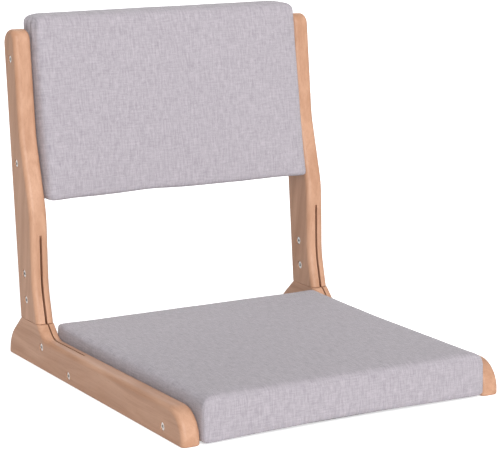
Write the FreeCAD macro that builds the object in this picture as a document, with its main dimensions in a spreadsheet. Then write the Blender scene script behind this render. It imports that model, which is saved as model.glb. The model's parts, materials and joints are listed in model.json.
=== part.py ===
import FreeCAD, Part
import os
import re
import Sketcher

# Legless floor chair with a folding back: a padded seat between two floor rails, and a padded
# backrest between two posts that fold forward on steel plates hidden in saw kerfs.
# Local axes: x across the chair, y from the front of the floor rails to the rear, z up from the floor.

SIZES = {
    # overall frame
    "overallWidth": "450",
    "railThickness": "25",
    "baseLength": "507",
    "postTop": "442",
    "woodEdgeRadius": "6.5",
    "footEdgeRadius": "2.5",
    # floor rail outline
    "railFrontHeight": "43.5",
    "railRearHeight": "41",
    "railNoseRadius": "36",
    "innerCornerSetback": "17.5",
    "innerCornerRadius": "25",
    "jointHeight": "58",
    "jointDepth": "58.5",
    "jointGap": "0.3",
    "heelLength": "40.5",
    "heelBend": "36.5",
    "heelBendHeight": "27",
    "heelRadius": "45",
    "heelFoot": "4.5",
    "heelFootRadius": "8",
    "jointBevel": "0.4",
    "jointLip": "3.5",
    # post outline, measured rearward from the front of the joint
    "kneeSetback": "11.9",
    "kneeHeight": "106",
    "waistSetback": "13.6",
    "waistHeight": "203",
    "shoulderSetback": "40.5",
    "shoulderHeight": "300",
    "postFrontSlope": "0.1025",
    "postRearSlope": "0.0902",
    "postBendRadius": "150",
    "postTopFrontRadius": "16",
    "postTopRearRadius": "20",
    # pivot and hinge plate
    "pivotForward": "10.5",
    "pivotHeight": "30.5",
    "plateThickness": "1.5",
    "plateEndRadius": "10",
    "plateLowBoltSetback": "36",
    "plateLowBoltHeight": "85",
    "plateHighBoltSetback": "40",
    "plateHighBoltHeight": "120",
    "postKerfWidth": "3.2",
    "kerfOffset": "0.8",
    "plateSideGap": "0.3",
    "postKerfTop": "175",
    "postKerfDepthHeight": "128",
    "kerfRearInset": "4.5",
    "railKerfFront": "116",
    "railKerfFloor": "19.5",
    "railKerfFloorAhead": "8",
    "railKerfFloorBehind": "9",
    "railKerfReach": "29.5",
    "postKerfRunOut": "10",
    "cutRunOut": "2",
    # fasteners
    "boltShank": "6",
    "boltHead": "10",
    "boltHeadLength": "4",
    "headRecess": "1",
    "hexSocket": "4",
    "hexDepth": "2.6",
    "headClearance": "0.5",
    "shankClearance": "0.2",
    "sleeveOuter": "8",
    "sleeveLength": "15",
    "sleeveHeadLength": "3",
    "sleeveHoleSpare": "0.5",
    "boltEndGap": "1",
    "pivotClearance": "0.05",
    "insertOuter": "10",
    "insertLength": "14",
    "insertGrip": "12",
    # seat
    "seatSideGap": "0.5",
    "seatOverhang": "5",
    "seatRearGap": "3",
    "seatTop": "59",
    "coverThickness": "1.2",
    "dustThickness": "0.8",
    "floorClearance": "2",
    "seatFrontRadius": "20",
    "seatRearRadius": "14",
    "padSideRadius": "12",
    "seatFoamEnds": "10",
    "seatFrameHeight": "28",
    "seatFrameRail": "22",
    "seatDeckThickness": "6",
    "hemWidth": "26",
    "seatFrontBoltY": "50.6",
    "seatFrontBoltHeight": "14",
    "seatRearBoltSetback": "94",
    "seatRearBoltHeight": "11.5",
    # backrest
    "backPadAbovePost": "18.5",
    "backPadHeight": "241.5",
    "backPadInset": "8.8",
    "backPadTopDepth": "41",
    "backPadBottomDepth": "58",
    "backTopFrontRadius": "16",
    "backTopRearRadius": "14",
    "backBottomFrontRadius": "12",
    "backBottomRearRadius": "10",
    "backSideRadius": "8",
    "boardThickness": "18",
    "boardTopInset": "16",
    "boardBottomInset": "14",
    "rearPanelThickness": "0.8",
    "rearPanelInset": "16",
    "backBoltUpperDrop": "57.5",
    "backBoltLowerDrop": "194.5",
    "backBoltAxisShift": "1.4",
    # staples
    "stapleCrown": "10",
    "stapleWire": "1",
    "stapleLeg": "5",
    "staplePitch": "60",
    "stapleHemShare": "0.75",
}

# Sizes that follow from the ones above.
DERIVED = {
    "originShift": "(baseLength - seatOverhang) / 2",
    "sideCentre": "(overallWidth - railThickness) / 2",
    "jointRear": "baseLength - heelLength",
    "jointFront": "jointRear - jointDepth",
    "pivotY": "jointFront - pivotForward",
    "plateLowBoltY": "jointFront + plateLowBoltSetback",
    "plateHighBoltY": "jointFront + plateHighBoltSetback",
    "postBottom": "jointHeight + jointGap",
    "shoulderY": "jointFront + shoulderSetback",
    "postTopFrontY": "shoulderY + (postTop - shoulderHeight) * postFrontSlope",
    "postTopRearY": "jointRear + (postTop - jointHeight) * postRearSlope",
    "plateShift": "kerfOffset + (postKerfWidth - plateThickness) / 2",
    "railKerfWidth": "plateThickness + 2 * plateSideGap",
    "headHole": "boltHead + 2 * headClearance",
    "shankHole": "boltShank + 2 * shankClearance",
    "sleeveHole": "sleeveOuter + 2 * shankClearance",
    "sleeveBore": "boltShank + 2 * pivotClearance",
    "headDepth": "boltHeadLength + headRecess",
    "sleeveHeadDepth": "sleeveHeadLength + headRecess",
    "sleeveHoleDepth": "sleeveHeadDepth + sleeveLength + sleeveHoleSpare",
    "throughShank": "railThickness - headDepth - sleeveHeadDepth - boltEndGap",
    "padHalfWidth": "overallWidth / 2 - railThickness - seatSideGap",
    "seatLength": "jointFront - seatRearGap + seatOverhang",
    "seatUnderside": "floorClearance + dustThickness",
    "frameUnderside": "seatUnderside + coverThickness",
    "frameTop": "frameUnderside + seatFrameHeight",
    "frameHalfWidth": "padHalfWidth - coverThickness",
    "frameFront": "coverThickness + seatFoamEnds",
    "frameLength": "seatLength - 2 * coverThickness - 2 * seatFoamEnds",
    "backPadTop": "postTop + backPadAbovePost",
    "backPadBottom": "backPadTop - backPadHeight",
    "backRearBottomY": "jointRear + (backPadBottom - jointHeight) * postRearSlope - backPadInset",
    "backRearTopY": "backRearBottomY + backPadHeight * postRearSlope",
    "backFrontTopY": "backRearTopY - backPadTopDepth",
    "backFrontBottomY": "backRearBottomY - backPadBottomDepth",
    "backLean": "atan(postRearSlope)",
    "backFrontSlope": "(backFrontTopY - backFrontBottomY) / backPadHeight",
    "boardHalfWidth": "padHalfWidth - backSideRadius",
    "boardBottom": "backPadBottom + boardBottomInset",
    "boardTop": "backPadTop - boardTopInset",
}

LEFT = -1
RIGHT = 1
CLOSE = 1e-4    # differences below this count as none
SIDES = {"left": LEFT, "right": RIGHT}

doc = FreeCAD.newDocument("FloorChair")
sheet = doc.addObject("Spreadsheet::Sheet", "Sizes")
nodes = []


def fill_sheet():
    """Write each driving size and each derived size into its own named cell."""
    row = 1
    for name, value in list(SIZES.items()) + list(DERIVED.items()):
        sheet.set("A%d" % row, name)
        sheet.set("B%d" % row, "=" + value if name in DERIVED else value)
        sheet.setAlias("B%d" % row, name)
        row += 1
    doc.recompute()


def linked(text):
    """Turn sheet names in an expression into references to the sheet."""
    return re.sub(r"[a-z][A-Za-z]+", lambda word: "Sizes." + word.group()
                  if word.group() in SIZES or word.group() in DERIVED else word.group(), text)


def number(text):
    """The value of an expression of sheet names."""
    value = sheet.evalExpression(linked(text))
    return float(getattr(value, "Value", value))


def bind(target, **expressions):
    """Bind properties of an object to sheet expressions. Underscores stand for dots."""
    for name, text in expressions.items():
        target.setExpression(name.replace("_", "."), linked(text))


def place(target, x="0", y="0", z="0", rotation=None):
    """Bind an object's position; y is given from the front of the floor rails."""
    if rotation is not None:
        target.Placement = FreeCAD.Placement(FreeCAD.Vector(0, 0, 0), rotation)
    bind(target, Placement_Base_x=x, Placement_Base_y="(%s) - originShift" % y, Placement_Base_z=z)


def keep(target, label):
    """Name a finished sub-part and list it for export."""
    target.Label = label
    nodes.append(target)
    return target


# ---------------------------------------------------------------- sketches

def side_sketch(body, name, offset="0"):
    """A sketch on the body's YZ plane: sketch x runs along y, sketch y along z."""
    sketch = body.newObject("Sketcher::SketchObject", name)
    plane = [item for item in body.Origin.OriginFeatures if item.Role == "YZ_Plane"][0]
    sketch.AttachmentSupport = (plane, [""])
    sketch.MapMode = "FlatFace"
    if offset != "0":
        bind(sketch, AttachmentOffset_Base_z=offset)
    return sketch


def fix(sketch, kind, label, text, *where):
    """Add a dimension and bind it to the sheet. A zero becomes a point on the axis."""
    value = number(text)
    if kind in ("DistanceX", "DistanceY") and abs(value) < CLOSE:
        axis = -2 if kind == "DistanceX" else -1
        sketch.addConstraint(Sketcher.Constraint("PointOnObject", where[0], where[1], axis))
        return
    if kind in ("DistanceX", "DistanceY"):
        where = (-1, 1) + where
    index = sketch.addConstraint(Sketcher.Constraint(kind, *where, value))
    sketch.renameConstraint(index, label)
    bind(sketch, **{"Constraints_" + label: text})


def outline(sketch, corners):
    """Draw a closed outline from corners (along, up, radius), anticlockwise. Radius 0 is sharp."""
    points = [FreeCAD.Vector(number(along), number(up), 0) for along, up, _ in corners]
    radii = [number(radius) for _, _, radius in corners]
    count = len(points)
    starts, ends, arcs = {}, {}, {}
    for i in range(count):
        into = (points[i] - points[i - 1]).normalize()
        away = (points[(i + 1) % count] - points[i]).normalize()
        if radii[i] == 0:
            ends[(i - 1) % count] = points[i]
            starts[i] = points[i]
            continue
        reach = radii[i] * abs(FreeCAD.Vector(0, 0, 1).cross(into).dot(away)) / (1 + into.dot(away))
        ends[(i - 1) % count] = points[i] - into * reach
        starts[i] = points[i] + away * reach
        left = FreeCAD.Vector(-into.y, into.x, 0)
        convex = left.dot(away) > 0
        centre = ends[(i - 1) % count] + left * (radii[i] if convex else -radii[i])
        arcs[i] = (centre, convex)
    for i in range(count):
        sketch.addGeometry(Part.LineSegment(starts[i], ends[i]), False)
    for i in range(count):
        before = (i - 1) % count
        along, up, radius = corners[i]
        tag = "c%d" % i
        if i not in arcs:
            sketch.addConstraint(Sketcher.Constraint("Coincident", before, 2, i, 1))
            fix(sketch, "DistanceX", tag + "x", along, i, 1)
            fix(sketch, "DistanceY", tag + "y", up, i, 1)
            continue
        centre, convex = arcs[i]
        first, last = (ends[before], starts[i]) if convex else (starts[i], ends[before])
        circle = Part.Circle(centre, FreeCAD.Vector(0, 0, 1), radii[i])
        arc = sketch.addGeometry(
            Part.ArcOfCircle(circle, circle.parameter(first), circle.parameter(last)), False)
        sketch.addConstraint(Sketcher.Constraint("Tangent", before, 2, arc, 1 if convex else 2))
        sketch.addConstraint(Sketcher.Constraint("Tangent", arc, 2 if convex else 1, i, 1))
        fix(sketch, "Radius", tag + "r", radius, arc)
        corner = sketch.addGeometry(Part.Point(points[i]), True)
        sketch.addConstraint(Sketcher.Constraint("PointOnObject", corner, 1, before))
        sketch.addConstraint(Sketcher.Constraint("PointOnObject", corner, 1, i))
        fix(sketch, "DistanceX", tag + "x", along, corner, 1)
        fix(sketch, "DistanceY", tag + "y", up, corner, 1)


def capsule(sketch, start, end, radius):
    """Draw two equal arcs about start and end, joined by tangent lines."""
    a, b = [FreeCAD.Vector(number(along), number(up), 0) for along, up in (start, end)]
    reach = number(radius)
    run = (b - a).normalize()
    side = FreeCAD.Vector(-run.y, run.x, 0) * reach
    circles = [Part.Circle(centre, FreeCAD.Vector(0, 0, 1), reach) for centre in (a, b)]
    sketch.addGeometry([
        Part.ArcOfCircle(circles[0], circles[0].parameter(a + side), circles[0].parameter(a - side)),
        Part.LineSegment(a - side, b - side),
        Part.ArcOfCircle(circles[1], circles[1].parameter(b - side), circles[1].parameter(b + side)),
        Part.LineSegment(b + side, a + side)], False)
    for one in range(4):
        sketch.addConstraint(Sketcher.Constraint("Tangent", one, 2, (one + 1) % 4, 1))
    sketch.addConstraint(Sketcher.Constraint("Equal", 0, 2))
    fix(sketch, "Radius", "endRadius", radius, 0)
    for tag, arc, (along, up) in (("start", 0, start), ("finish", 2, end)):
        fix(sketch, "DistanceX", tag + "x", along, arc, 3)
        fix(sketch, "DistanceY", tag + "y", up, arc, 3)


def holes(sketch, centres, diameter):
    """Draw one circle at each centre."""
    for i, (along, up) in enumerate(centres):
        centre = FreeCAD.Vector(number(along), number(up), 0)
        circle = Part.Circle(centre, FreeCAD.Vector(0, 0, 1), number(diameter) / 2)
        index = sketch.addGeometry(circle, False)
        fix(sketch, "Radius", "hole%dr" % i, "%s / 2" % diameter, index)
        fix(sketch, "DistanceX", "hole%dx" % i, along, index, 3)
        fix(sketch, "DistanceY", "hole%dy" % i, up, index, 3)


# ---------------------------------------------------------------- features

def new_body(name):
    return doc.addObject("PartDesign::Body", name)


def pad(body, sketch, length):
    """Extrude a sketch both ways from its plane."""
    feature = body.newObject("PartDesign::Pad", "Pad")
    feature.Profile = (sketch, [""])
    feature.SideType = "Symmetric"
    bind(feature, Length=length)
    doc.recompute()
    return feature


def cut(body, sketch, length, inward=None):
    """Pocket a sketch: both ways, or towards the side that inward (-1 or 1) gives along x."""
    before = body.Shape.Volume
    feature = body.newObject("PartDesign::Pocket", "Pocket")
    feature.Profile = (sketch, [""])
    if inward is None:
        feature.SideType = "Symmetric"
    else:
        feature.Reversed = inward > 0
    bind(feature, Length=length)
    doc.recompute()
    if body.Shape.Volume > before - CLOSE:
        raise RuntimeError("%s: %s cuts nothing" % (body.Label, sketch.Name))
    return feature


def round_edges(body, radius, chosen):
    """Fillet each edge of the body's tip that the test accepts."""
    base = body.Tip
    names = ["Edge%d" % (i + 1) for i, edge in enumerate(base.Shape.Edges) if chosen(edge)]
    feature = body.newObject("PartDesign::Fillet", "Fillet")
    feature.Base = (base, names)
    bind(feature, Radius=radius)
    doc.recompute()
    return feature


def bevel_joint(body, level):
    """Take the sharp edge off the flat face where post and floor rail meet."""
    base = body.Tip
    height = number(level)
    names = ["Edge%d" % (i + 1) for i, edge in enumerate(base.Shape.Edges) if lies_at(edge, "z", height)]
    feature = body.newObject("PartDesign::Chamfer", "Chamfer")
    feature.Base = (base, names)
    bind(feature, Size="jointBevel")
    doc.recompute()


def lies_at(edge, axis, value):
    """True if every point of the edge has this coordinate along x, y or z."""
    box = edge.BoundBox
    low = getattr(box, axis.upper() + "Min")
    high = getattr(box, axis.upper() + "Max")
    return abs(low - value) < CLOSE and abs(high - value) < CLOSE


def rim_test(half_width, *levels):
    """Edges of the two side faces, without those that lie flat at the given heights."""
    half = number(half_width)
    flats = [number(level) for level in levels]

    def chosen(edge):
        on_side = lies_at(edge, "x", half) or lies_at(edge, "x", -half)
        return on_side and not any(lies_at(edge, "z", flat) for flat in flats)
    return chosen


# ---------------------------------------------------------------- wooden frame

def base_rail(name, side):
    """Floor rail: rounded nose, inner corner, flat joint for the post and sloping heel."""
    body = new_body(name)
    sketch = side_sketch(body, name + "_outline")
    outline(sketch, [
        ("0", "0", "0"),
        ("baseLength", "0", "0"),
        ("baseLength", "heelFoot", "heelFootRadius"),
        ("jointRear + heelBend", "heelBendHeight", "heelRadius"),
        ("jointRear", "jointHeight", "0"),
        ("jointFront - jointLip", "jointHeight", "0"),
        ("jointFront - jointLip - innerCornerSetback", "railRearHeight", "innerCornerRadius"),
        ("0", "railFrontHeight", "railNoseRadius"),
    ])
    pad(body, sketch, "railThickness")
    round_edges(body, "woodEdgeRadius", rim_test("railThickness / 2", "0", "jointHeight"))
    round_edges(body, "footEdgeRadius", lambda edge: lies_at(edge, "z", 0))
    bevel_joint(body, "jointHeight")
    kerf = side_sketch(body, name + "_kerf", "plateShift")
    outline(kerf, [
        ("pivotY - railKerfFloorAhead", "railKerfFloor", "0"),
        ("pivotY + railKerfFloorBehind", "railKerfFloor", "0"),
        ("jointFront + railKerfReach", "jointHeight + cutRunOut", "0"),
        ("jointFront - railKerfFront", "jointHeight + cutRunOut", "0"),
        ("jointFront - railKerfFront", "railRearHeight", "0"),
    ])
    cut(body, kerf, "railKerfWidth")
    drill_side(body, name, side, rail_bolts() + [pivot()], [pivot()])
    place(body, x="%d * sideCentre" % side)
    return keep(body, name)


def back_post(name, side):
    """Post: flat foot on the joint, straight rear edge, S-shaped front edge and rounded top."""
    body = new_body(name)
    sketch = side_sketch(body, name + "_outline")
    outline(sketch, [
        ("jointFront", "postBottom", "0"),
        ("jointRear", "postBottom", "0"),
        ("postTopRearY", "postTop", "postTopRearRadius"),
        ("postTopFrontY", "postTop", "postTopFrontRadius"),
        ("shoulderY", "shoulderHeight", "postBendRadius"),
        ("jointFront + waistSetback", "waistHeight", "postBendRadius"),
        ("jointFront + kneeSetback", "kneeHeight", "postBendRadius"),
    ])
    pad(body, sketch, "railThickness")
    round_edges(body, "woodEdgeRadius", rim_test("railThickness / 2", "postBottom"))
    bevel_joint(body, "postBottom")
    kerf = side_sketch(body, name + "_kerf", "kerfOffset")
    outline(kerf, [
        ("jointFront - postKerfRunOut", "postBottom - cutRunOut", "0"),
        ("jointRear - kerfRearInset", "postBottom - cutRunOut", "0"),
        ("jointRear - kerfRearInset", "postKerfDepthHeight", "0"),
        ("jointFront + waistSetback", "postKerfTop", "0"),
        ("jointFront - postKerfRunOut", "postKerfTop", "0"),
    ])
    cut(body, kerf, "postKerfWidth")
    drill_side(body, name, side, plate_bolts() + back_bolts(), plate_bolts())
    place(body, x="%d * sideCentre" % side)
    return keep(body, name)


def drill_side(body, name, side, bolts, sleeves):
    """Shank holes right through, head holes from the outside, sleeve holes from the inside."""
    shank = side_sketch(body, name + "_shank_holes")
    holes(shank, bolts, "shankHole")
    cut(body, shank, "2 * railThickness")
    outer = "%d * railThickness / 2" % side
    inner = "%d * railThickness / 2" % -side
    for tag, centres, face, diameter, depth, inward in (
            ("head", bolts, outer, "headHole", "headDepth", -side),
            ("sleeve_head", sleeves, inner, "headHole", "sleeveHeadDepth", side),
            ("sleeve", sleeves, inner, "sleeveHole", "sleeveHoleDepth", side)):
        sketch = side_sketch(body, "%s_%s_holes" % (name, tag), face)
        holes(sketch, centres, diameter)
        cut(body, sketch, depth, inward)


def pivot():
    return ("pivotY", "pivotHeight")


def plate_bolts():
    return [("plateLowBoltY", "plateLowBoltHeight"), ("plateHighBoltY", "plateHighBoltHeight")]


def rail_bolts():
    return [("seatFrontBoltY", "seatFrontBoltHeight"),
            ("jointFront - seatRearBoltSetback", "seatRearBoltHeight")]


def back_bolts():
    """Bolts on the middle plane of the backrest board, at two heights."""
    found = []
    for drop in ("backBoltUpperDrop", "backBoltLowerDrop"):
        height = "backPadTop - " + drop
        rear = "backRearTopY - %s * postRearSlope - coverThickness" % drop
        found.append((rear + " - boardThickness / 2 - backBoltAxisShift", height))
    return found


def hinge_plate(name, side):
    """Dog-legged steel plate: two bolts in the post, one pivot hole in the floor rail."""
    body = new_body(name)
    low, high = plate_bolts()
    for tag, start, finish in (("leg", pivot(), low), ("arm", low, high)):
        sketch = side_sketch(body, "%s_%s" % (name, tag))
        capsule(sketch, start, finish, "plateEndRadius")
        pad(body, sketch, "plateThickness")
    bolt_holes = side_sketch(body, name + "_bolt_holes")
    holes(bolt_holes, [low, high], "sleeveHole")
    cut(body, bolt_holes, "2 * plateThickness")
    pivot_hole = side_sketch(body, name + "_pivot_hole")
    holes(pivot_hole, [pivot()], "(sleeveOuter + 2 * pivotClearance)")
    cut(body, pivot_hole, "2 * plateThickness")
    place(body, x="%d * sideCentre + plateShift" % side)
    return keep(body, name)


# ---------------------------------------------------------------- fasteners

def cylinder(name, diameter, length, bottom):
    item = doc.addObject("Part::Cylinder", name)
    bind(item, Radius="%s / 2" % diameter, Height=length, Placement_Base_z=bottom)
    return item


def hexagon(name, flats, length, bottom):
    item = doc.addObject("Part::Prism", name)
    item.Polygon = 6
    bind(item, Circumradius="%s / 2 / cos(30)" % flats, Height=length, Placement_Base_z=bottom)
    return item


def fused(name, items):
    item = doc.addObject("Part::MultiFuse", name)
    item.Shapes = items
    return item


def subtracted(name, base, tool):
    item = doc.addObject("Part::Cut", name)
    item.Base = base
    item.Tool = tool
    return item


def aim(item, direction, x, centre):
    """Turn an item made along +z to point along x, and put it at a bolt centre."""
    turn = FreeCAD.Rotation(FreeCAD.Vector(0, 1, 0), 90 * direction)
    place(item, x=x, y=centre[0], z=centre[1], rotation=turn)
    return item


def socket_bolt(name, side, centre, shank):
    """Bolt with a socket head sunk in the outer face; its shank points inward."""
    head = cylinder(name + "_head", "boltHead", "boltHeadLength", "-boltHeadLength")
    rod = cylinder(name + "_rod", "boltShank", shank, "-boltHeadLength - (%s)" % shank)
    socket = hexagon(name + "_socket", "hexSocket", "hexDepth", "-hexDepth")
    bolt = subtracted(name, fused(name + "_blank", [head, rod]), socket)
    return aim(bolt, side, "%d * (overallWidth / 2 - headRecess)" % side, centre)


def sleeve_nut(name, side, centre):
    """Headed sleeve sunk in the inner face, bored for the bolt that meets it."""
    head = cylinder(name + "_head", "boltHead", "sleeveHeadLength", "-sleeveHeadLength")
    barrel = cylinder(name + "_barrel", "sleeveOuter", "sleeveLength",
                      "-sleeveHeadLength - sleeveLength")
    socket = hexagon(name + "_socket", "hexSocket", "sleeveHeadLength", "-sleeveHeadLength")
    bore = cylinder(name + "_bore", "sleeveBore", "sleeveLength", "-sleeveHeadLength - sleeveLength")
    nut = subtracted(name, fused(name + "_blank", [head, barrel]), fused(name + "_hole", [socket, bore]))
    inner = "%d * (overallWidth / 2 - railThickness + headRecess)" % side
    return aim(nut, -side, inner, centre)


def insert(name, side, centre, face):
    """Threaded insert flush with a board's edge."""
    ring = cylinder(name + "_ring", "insertOuter", "insertLength", "-insertLength")
    bore = cylinder(name + "_bore", "sleeveBore", "insertLength", "-insertLength")
    return aim(subtracted(name, ring, bore), side, "%d * %s" % (side, face), centre)


def cross_hole(name, centre):
    """Cutter for a bolt's hole, right across the chair."""
    return aim(cylinder(name, "shankHole", "overallWidth", "0"), RIGHT, "-overallWidth / 2", centre)


def insert_hole(name, side, centre, face):
    """Cutter for a threaded insert, inward from a board's edge."""
    return aim(cylinder(name, "insertOuter", "insertLength", "0"), -side, "%d * %s" % (side, face), centre)


def group(label, items):
    """Identical pieces share one sub-part as separate solids."""
    compound = doc.addObject("Part::Compound", label)
    compound.Links = items
    return keep(compound, label)


def bolt_set(word, side_name, side, centres, shank):
    name = "%s_%s_bolts" % (side_name, word)
    group(name, [socket_bolt("%s_%d" % (name, i + 1), side, centre, shank)
                 for i, centre in enumerate(centres)])


def insert_set(word, side_name, side, centres, face):
    name = "%s_%s_inserts" % (side_name, word)
    group(name, [insert("%s_%d" % (name, i + 1), side, centre, face)
                 for i, centre in enumerate(centres)])


# ---------------------------------------------------------------- upholstery

def block(name, x, y, z, length, width, height):
    """A box from its low corner and its three sizes."""
    item = doc.addObject("Part::Box", name)
    bind(item, Length=length, Width=width, Height=height)
    place(item, x, y, z)
    return item


def form(name, corners, half_width, side_radius, *flats):
    """Upholstered form: a side outline across the chair with rounded side edges."""
    body = new_body(name)
    sketch = side_sketch(body, name + "_outline")
    outline(sketch, corners)
    pad(body, sketch, "2 * (%s)" % half_width)
    round_edges(body, side_radius, rim_test(half_width, *flats))
    return body


def seat_form(name, inset):
    """The seat's outer form, or the form that lies inset below it."""
    floor = "seatUnderside + " + inset
    rear = "seatLength - " + inset
    top = "seatTop - " + inset
    body = form(name, [(inset, floor, "0"), (rear, floor, "0"),
                       (rear, top, "seatRearRadius - " + inset),
                       (inset, top, "seatFrontRadius - " + inset)],
                "padHalfWidth - " + inset, "padSideRadius - " + inset, floor)
    place(body, y="-seatOverhang")
    return body


def back_form(name, inset):
    """The backrest's outer form, or the form that lies inset below it."""
    low = "backPadBottom + " + inset
    high = "backPadTop - " + inset
    front_step = "%s * (1 + backFrontSlope)" % inset
    front_drop = "%s * (1 - backFrontSlope)" % inset
    rear_step = "%s * (1 - postRearSlope)" % inset
    rear_drop = "%s * (1 + postRearSlope)" % inset
    body = form(name, [("backFrontBottomY + " + front_step, low, "backBottomFrontRadius - " + inset),
                       ("backRearBottomY - " + rear_step, low, "backBottomRearRadius - " + inset),
                       ("backRearTopY - " + rear_drop, high, "backTopRearRadius - " + inset),
                       ("backFrontTopY + " + front_drop, high, "backTopFrontRadius - " + inset)],
                "padHalfWidth - " + inset, "backSideRadius - " + inset)
    place(body)
    return body


def rear_slab(name, half_width, low, high, back_offset, depth):
    """A slab parallel to the backrest's rear face, its rear side back_offset behind that face."""
    body = new_body(name)
    sketch = side_sketch(body, name + "_outline")
    foot = "backRearBottomY + (%s - backPadBottom) * postRearSlope + %s" % (low, back_offset)
    head = "backRearBottomY + (%s - backPadBottom) * postRearSlope + %s" % (high, back_offset)
    outline(sketch, [("%s - %s" % (foot, depth), low, "0"), (foot, low, "0"),
                     (head, high, "0"), ("%s - %s" % (head, depth), high, "0")])
    pad(body, sketch, "2 * (%s)" % half_width)
    place(body)
    return body


def seat_frame():
    """Four rails and a middle slat under the seat, with inserts for the side bolts."""
    front = "frameFront - seatOverhang"
    inner_half = "(frameHalfWidth - seatFrameRail)"
    for label, start in (("seat_front_rail", front),
                         ("seat_rear_rail", front + " + frameLength - seatFrameRail")):
        keep(block(label, "-frameHalfWidth", start, "frameUnderside",
                   "2 * frameHalfWidth", "seatFrameRail", "seatFrameHeight"), label)
    keep(block("seat_middle_slat", "-" + inner_half, front + " + (frameLength - seatFrameRail) / 2",
               "frameTop - seatFrameHeight / 2",
               "2 * " + inner_half, "seatFrameRail", "seatFrameHeight / 2"), "seat_middle_slat")
    for side_name, side in SIDES.items():
        label = "seat_%s_rail" % side_name
        low = "-frameHalfWidth" if side == LEFT else "frameHalfWidth - seatFrameRail"
        rail = block(label + "_blank", low, front + " + seatFrameRail", "frameUnderside",
                     "seatFrameRail", "frameLength - 2 * seatFrameRail", "seatFrameHeight")
        for i, centre in enumerate(rail_bolts()):
            hole = insert_hole("%s_hole_%d" % (label, i + 1), side, centre, "frameHalfWidth")
            rail = subtracted("%s_%d" % (label, i + 1), rail, hole)
        keep(rail, label)
        insert_set("seat", side_name, side, rail_bolts(), "frameHalfWidth")


def seat_upholstery():
    """Deck, foam, cover with a turned-in hem, and the dust cover that closes it."""
    front = "frameFront - seatOverhang"
    keep(block("seat_deck", "-frameHalfWidth", front, "frameTop",
               "2 * frameHalfWidth", "frameLength", "seatDeckThickness"), "seat_deck")
    under_deck = block("seat_frame_space", "-frameHalfWidth", front, "frameUnderside",
                       "2 * frameHalfWidth", "frameLength", "seatFrameHeight + seatDeckThickness")
    keep(subtracted("seat_foam", seat_form("seat_foam_form", "coverThickness"), under_deck), "seat_foam")
    window = block("seat_cover_window", "-padHalfWidth + hemWidth", "hemWidth - seatOverhang",
                   "seatUnderside", "2 * (padHalfWidth - hemWidth)", "seatLength - 2 * hemWidth",
                   "coverThickness")
    holes_across = [cross_hole("seat_cover_hole_%d" % (i + 1), centre)
                    for i, centre in enumerate(rail_bolts())]
    inside = fused("seat_cover_inside",
                   [seat_form("seat_inner_form", "coverThickness"), window] + holes_across)
    keep(subtracted("seat_cover", seat_form("seat_outer_form", "0"), inside), "seat_cover")
    half_hem = "hemWidth / 2"
    keep(block("seat_dust_cover", "-padHalfWidth + " + half_hem, half_hem + " - seatOverhang",
               "floorClearance", "2 * padHalfWidth - hemWidth", "seatLength - hemWidth",
               "dustThickness"), "seat_dust_cover")


def backrest():
    """Board with inserts, foam round it, cover, and the closing panel on the rear."""
    board = rear_slab("backrest_board_blank", "boardHalfWidth", "boardBottom", "boardTop",
                      "-coverThickness", "boardThickness")
    for side_name, side in SIDES.items():
        for i, centre in enumerate(back_bolts()):
            name = "%s_board_hole_%d" % (side_name, i + 1)
            board = subtracted(name + "_cut", board, insert_hole(name, side, centre, "boardHalfWidth"))
        insert_set("backrest", side_name, side, back_bolts(), "boardHalfWidth")
    keep(board, "backrest_board")
    board_space = rear_slab("backrest_board_space", "boardHalfWidth", "boardBottom", "boardTop",
                            "-coverThickness", "boardThickness")
    foam_holes = [cross_hole("backrest_foam_hole_%d" % (i + 1), centre)
                  for i, centre in enumerate(back_bolts())]
    keep(subtracted("backrest_foam", back_form("backrest_foam_form", "coverThickness"),
                    fused("backrest_foam_inside", [board_space] + foam_holes)), "backrest_foam")
    window = rear_slab("backrest_window", "padHalfWidth - hemWidth", "backPadBottom + hemWidth",
                       "backPadTop - hemWidth", "cutRunOut", "coverThickness + cutRunOut")
    cover_holes = [cross_hole("backrest_cover_hole_%d" % (i + 1), centre)
                   for i, centre in enumerate(back_bolts())]
    inside = fused("backrest_cover_inside",
                   [back_form("backrest_inner_form", "coverThickness"), window] + cover_holes)
    keep(subtracted("backrest_cover", back_form("backrest_outer_form", "0"), inside), "backrest_cover")
    keep(rear_slab("backrest_rear_panel", "padHalfWidth - rearPanelInset",
                   "backPadBottom + rearPanelInset", "backPadTop - rearPanelInset",
                   "rearPanelThickness", "rearPanelThickness"), "backrest_rear_panel")


def staple():
    """One staple of flat wire: crown along x, legs along +z."""
    crown, wire, leg = number("stapleCrown"), number("stapleWire"), number("stapleLeg")
    corner = FreeCAD.Vector(-crown / 2, -wire / 2, 0)
    piece = Part.makeBox(crown, wire, wire / 2, corner)
    for along in (-crown / 2, crown / 2 - wire / 2):
        piece = piece.fuse(Part.makeBox(wire / 2, wire, leg, FreeCAD.Vector(along, -wire / 2, 0)))
    return piece.removeSplitter()


def staple_ring(label, half_x, half_y, placement):
    """Staples evenly spaced round a rectangle, crowns along its sides."""
    piece = staple()
    solids = []
    for half_run, half_other, turn in ((half_x, half_y, 0), (half_y, half_x, 90)):
        count = max(2, int(round(2 * half_run / number("staplePitch"))))
        for i in range(count):
            along = -half_run + (i + 0.5) * 2 * half_run / count
            for across in (-half_other, half_other):
                spot = FreeCAD.Placement(FreeCAD.Vector(along, across, 0), FreeCAD.Rotation())
                whole = FreeCAD.Placement(FreeCAD.Vector(0, 0, 0),
                                          FreeCAD.Rotation(FreeCAD.Vector(0, 0, 1), turn))
                solids.append(piece.transformed(placement.multiply(whole.multiply(spot)).toMatrix()))
    item = doc.addObject("Part::Feature", label)
    item.Shape = Part.makeCompound(solids)
    return keep(item, label)


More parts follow.
